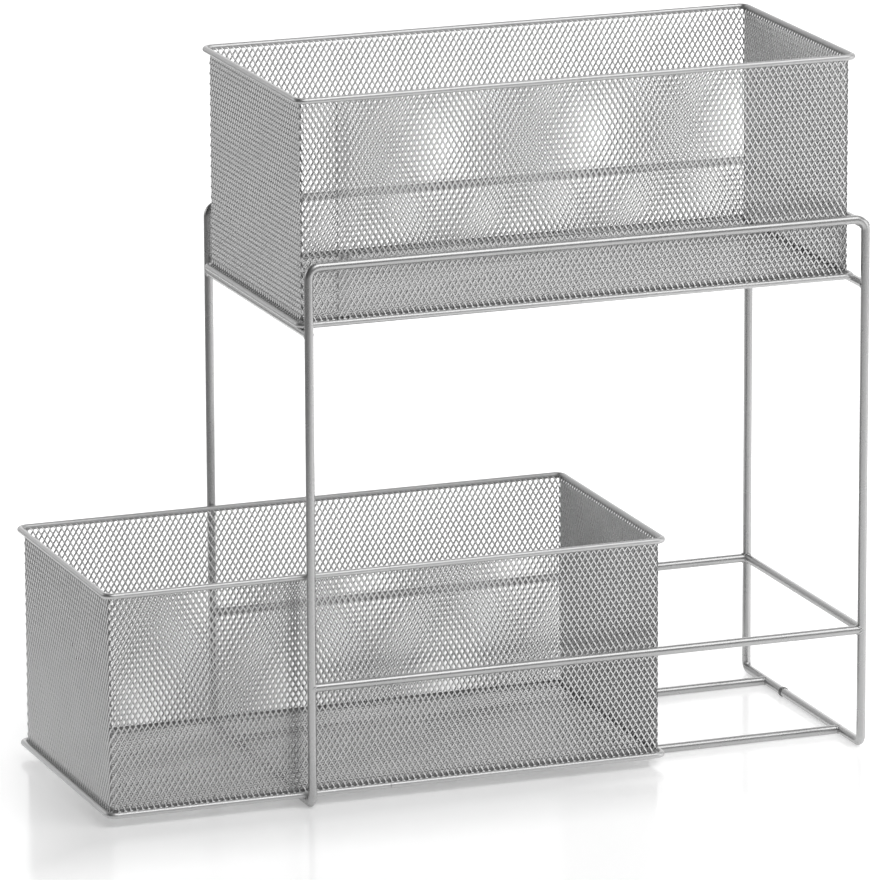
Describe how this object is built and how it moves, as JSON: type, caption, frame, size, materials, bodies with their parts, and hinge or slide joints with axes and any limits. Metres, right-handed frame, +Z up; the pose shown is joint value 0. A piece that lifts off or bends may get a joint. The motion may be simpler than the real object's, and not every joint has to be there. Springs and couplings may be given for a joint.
{
  "type": "two_tier_wire_and_mesh_drawer_organizer",
  "caption": "Silver two-tier wire stand holding open-topped expanded-metal mesh baskets that slide out sideways, one stacked above the other, for a desk or cupboard",
  "frame": {"origin": "on the floor under the middle of the whole object's box, with the baskets where the picture shows them", "axes": "+X along the length towards the end with the stop rail, so the baskets pull out towards -X; +Y from the front to the back; +Z up"},
  "size_m": [0.3962, 0.1514, 0.3514],
  "materials": {
    "frame_wire": "satin silver powder coat",
    "basket_rim": "satin silver powder coat",
    "basket_mesh": "satin silver powder coat on expanded metal"
  },
  "bodies": {
    "stand": {"front_hoop": "frame_wire", "back_hoop": "frame_wire", "upper_left_cross_rail": "frame_wire", "upper_right_cross_rail": "frame_wire", "upper_stop_rail": "frame_wire", "fence_front_rail": "frame_wire", "fence_back_rail": "frame_wire", "fence_right_rail": "frame_wire", "base_front_runner": "frame_wire", "upper_front_runner": "frame_wire", "base_back_runner": "frame_wire", "upper_back_runner": "frame_wire"},
    "upper_basket": {"upper_basket_top_rim": "basket_rim", "upper_basket_bottom_rim": "basket_rim", "upper_basket_front_wall": "basket_mesh", "upper_basket_back_wall": "basket_mesh", "upper_basket_left_wall": "basket_mesh", "upper_basket_right_wall": "basket_mesh", "upper_basket_floor": "basket_mesh"},
    "lower_basket": {"lower_basket_top_rim": "basket_rim", "lower_basket_bottom_rim": "basket_rim", "lower_basket_front_wall": "basket_mesh", "lower_basket_back_wall": "basket_mesh", "lower_basket_left_wall": "basket_mesh", "lower_basket_right_wall": "basket_mesh", "lower_basket_floor": "basket_mesh"}
  },
  "joints": [
    {"name": "upper_basket_slide", "type": "slide", "parent": "stand", "child": "upper_basket", "axis": [1, 0, 0], "range_m": [-0.1362, 0.0038]},
    {"name": "lower_basket_slide", "type": "slide", "parent": "stand", "child": "lower_basket", "axis": [1, 0, 0], "range_m": [-0.0367, 0.1033]}
  ]
}
